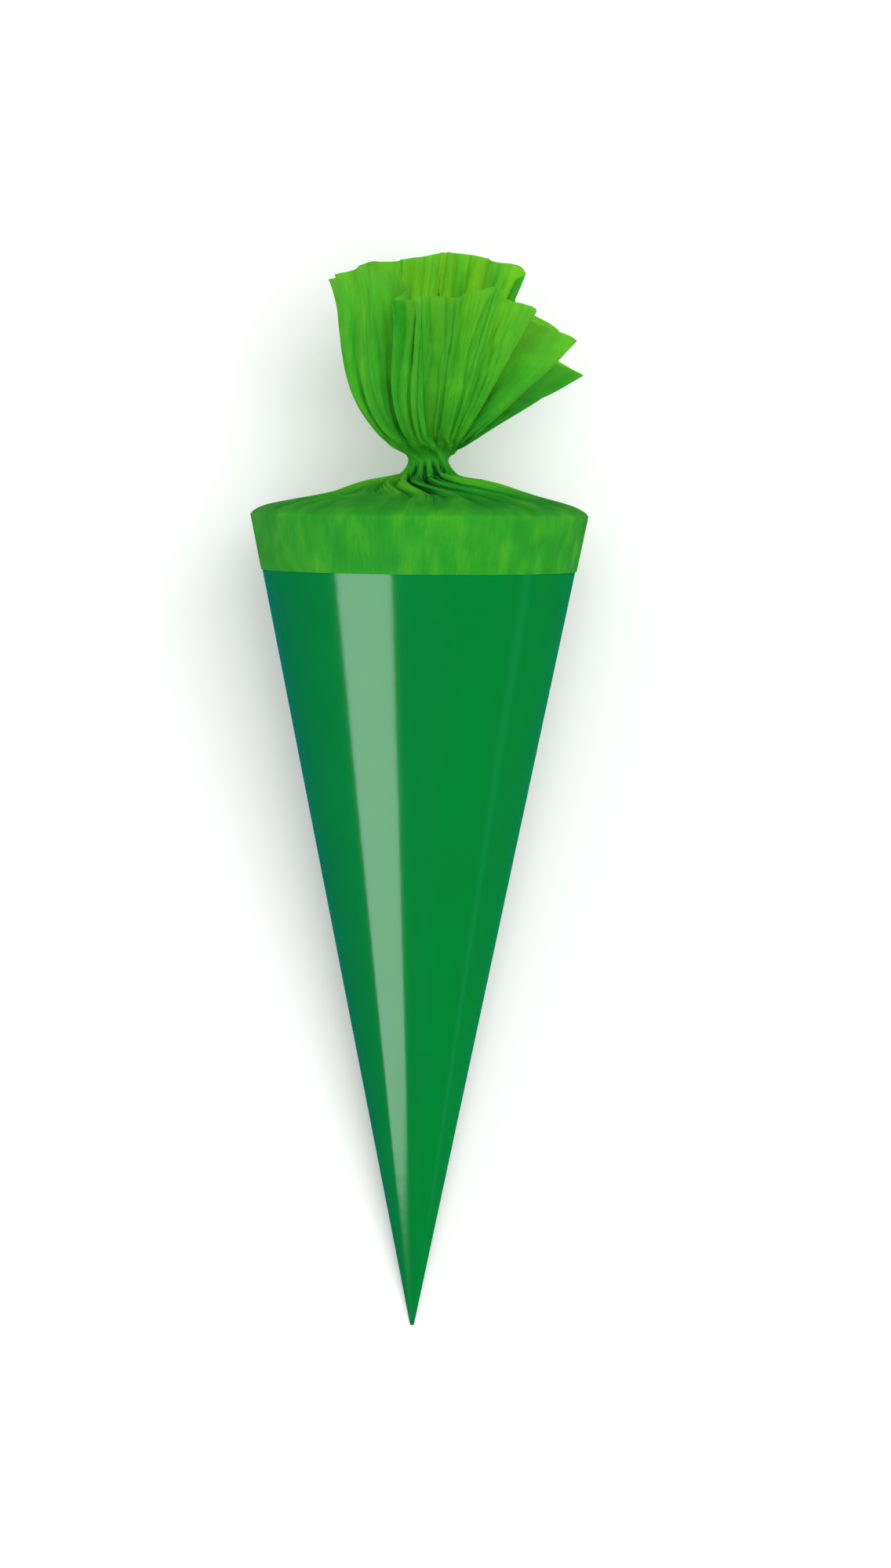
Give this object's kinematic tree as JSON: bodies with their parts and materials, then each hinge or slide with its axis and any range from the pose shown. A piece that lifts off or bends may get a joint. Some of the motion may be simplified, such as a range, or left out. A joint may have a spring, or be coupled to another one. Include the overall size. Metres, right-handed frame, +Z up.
{
  "type": "school cone",
  "caption": "Small rolled card school cone with a glossy finish, closed over its rim by a gathered and twisted crepe-paper sleeve that fans out above the twist.",
  "frame": {"origin": "middle of the bounding box's underside, on the table that the cone lies on", "axes": "+Z up from the table, +Y the way the crepe fan points, +X to the right when the fan points away; the tip points along -Y"},
  "size_m": [0.0912, 0.2886, 0.0893],
  "materials": {
    "glossy_card": "smooth card faced with a glossy green film",
    "crepe_paper": "matt light green crepe paper with fine crimps along the cone's axis"
  },
  "bodies": {
    "root": {"card_cone": "glossy_card", "crepe_closure": "crepe_paper"}
  },
  "joints": []
}
